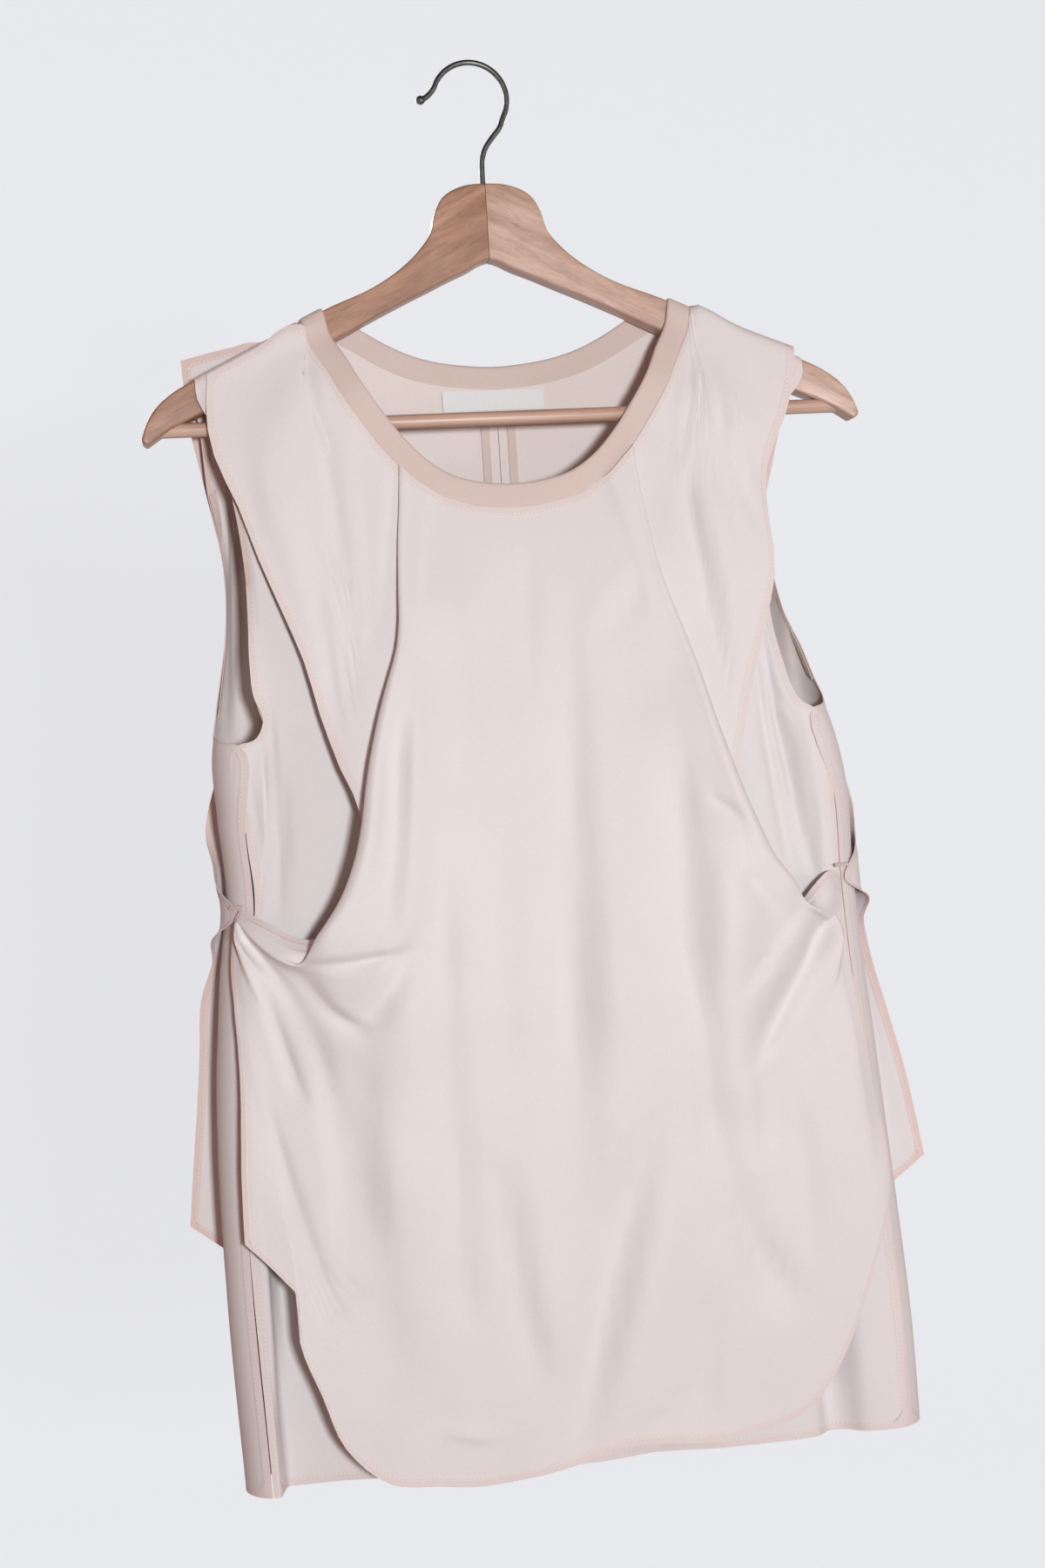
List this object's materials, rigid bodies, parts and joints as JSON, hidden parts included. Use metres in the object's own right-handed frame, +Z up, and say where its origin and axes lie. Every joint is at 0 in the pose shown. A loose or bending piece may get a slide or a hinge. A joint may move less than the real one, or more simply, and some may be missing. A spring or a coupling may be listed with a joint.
{
  "type": "tank top on a wooden clothes hanger",
  "caption": "Loose sleeveless top with a draped overlay, side tacks and shirt tails, hanging on a wooden hanger with a wire hook.",
  "frame": {"origin": "where the inside of the hook's crown touches the rail or peg it hangs on", "axes": "+Z up along the garment's length, +X to the right as seen from the front, +Y toward the back, so the front faces -Y"},
  "size_m": [0.459, 0.1063, 0.8484],
  "materials": {
    "crepe": "pale blush crepe, matt",
    "binding": "peach binding, matt",
    "satin": "white satin ribbon",
    "beech": "light reddish wood, clear lacquer",
    "dark_wire": "dark steel wire"
  },
  "bodies": {
    "root": {"base_front": "crepe", "base_back_left": "crepe", "base_back_right": "crepe", "front_overlay": "crepe", "back_overlay": "crepe", "neck_band_front": "binding", "neck_band_back": "binding", "armhole_binding_front_left": "binding", "armhole_binding_front_right": "binding", "armhole_binding_back_left": "binding", "armhole_binding_back_right": "binding", "back_tape_left": "binding", "back_tape_right": "binding", "tack_left": "binding", "tack_right": "binding", "neck_label": "satin", "hanger_half_left": "beech", "hanger_half_right": "beech", "hanger_bar": "beech", "hanger_hook": "dark_wire"}
  },
  "joints": []
}
